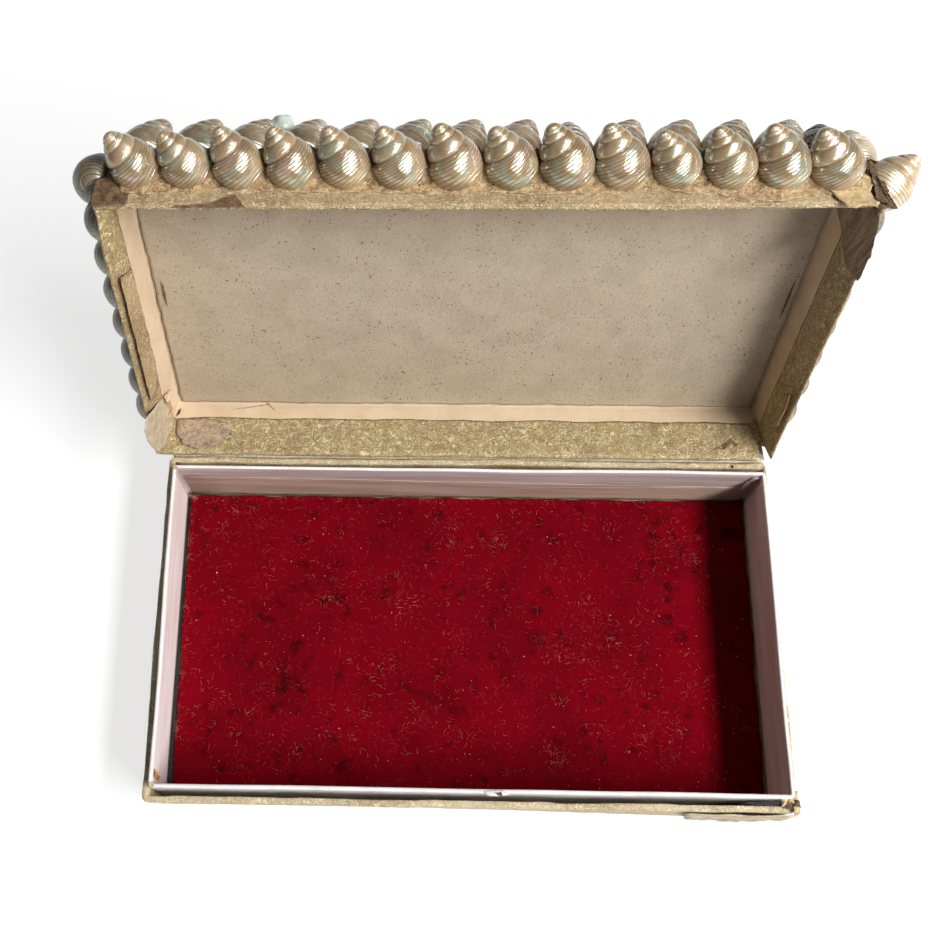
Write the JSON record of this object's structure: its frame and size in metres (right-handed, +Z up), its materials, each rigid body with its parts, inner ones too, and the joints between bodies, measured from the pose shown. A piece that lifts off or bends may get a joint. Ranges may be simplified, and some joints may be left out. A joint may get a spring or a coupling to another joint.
{
  "type": "shell box",
  "caption": "Shallow hinged box of paper-covered board with a lined well and a lid edged with rows of glued pearly spiral shells, standing open.",
  "frame": {"origin": "centre of the underside of the base", "axes": "+X along the length to the right, +Y from the front to the hinge, +Z up; the lid stands open behind the base"},
  "size_m": [0.2161, 0.1696, 0.1391],
  "materials": {
    "cover_paper": "embossed cream covering paper over board, aged and foxed, satin",
    "neck_card": "card covered outside in white paper and inside in lilac-pink paper",
    "red_flock": "card with a deep red flocked face, matte and fibrous",
    "lid_paper": "embossed covering paper over board, browned and torn at the corners",
    "lining_paper": "plain speckled lining paper, foxed",
    "pearl_shell": "polished mother-of-pearl on a natural spiral shell",
    "brown_shell": "dark brown natural shell with a fine net pattern"
  },
  "bodies": {
    "base": {"floor_card": "red_flock", "hinge_paper": "cover_paper", "neck": "neck_card", "outer_box": "cover_paper"},
    "lid": {"brown_shell": "brown_shell", "front_shell_01": "pearl_shell", "front_shell_02": "pearl_shell", "front_shell_03": "pearl_shell", "front_shell_04": "pearl_shell", "front_shell_05": "pearl_shell", "front_shell_06": "pearl_shell", "front_shell_07": "pearl_shell", "front_shell_08": "pearl_shell", "front_shell_09": "pearl_shell", "front_shell_10": "pearl_shell", "front_shell_11": "pearl_shell", "front_shell_12": "pearl_shell", "front_shell_13": "pearl_shell", "front_shell_14": "pearl_shell", "left_shell_01": "pearl_shell", "left_shell_02": "pearl_shell", "left_shell_03": "pearl_shell", "left_shell_04": "pearl_shell", "left_shell_05": "pearl_shell", "left_shell_06": "pearl_shell", "left_shell_07": "pearl_shell", "left_shell_08": "pearl_shell", "lid": "lid_paper", "lid_lining": "lining_paper", "right_shell_01": "pearl_shell", "right_shell_02": "pearl_shell", "right_shell_03": "pearl_shell", "right_shell_04": "pearl_shell", "right_shell_05": "pearl_shell", "right_shell_06": "pearl_shell", "right_shell_07": "pearl_shell", "right_shell_08": "pearl_shell", "top_shell_01": "pearl_shell", "top_shell_02": "pearl_shell", "top_shell_03": "pearl_shell", "top_shell_04": "pearl_shell", "top_shell_05": "pearl_shell", "top_shell_06": "pearl_shell", "top_shell_07": "pearl_shell", "top_shell_08": "pearl_shell", "top_shell_09": "pearl_shell", "top_shell_10": "pearl_shell", "top_shell_11": "pearl_shell", "top_shell_12": "pearl_shell", "top_shell_13": "pearl_shell"}
  },
  "joints": [
    {"name": "lid_hinge", "type": "hinge", "parent": "base", "child": "lid", "pos_m": [0, 0.0542, 0.024], "axis": [1, 0, 0], "range_deg": [0, 102.8]}
  ]
}
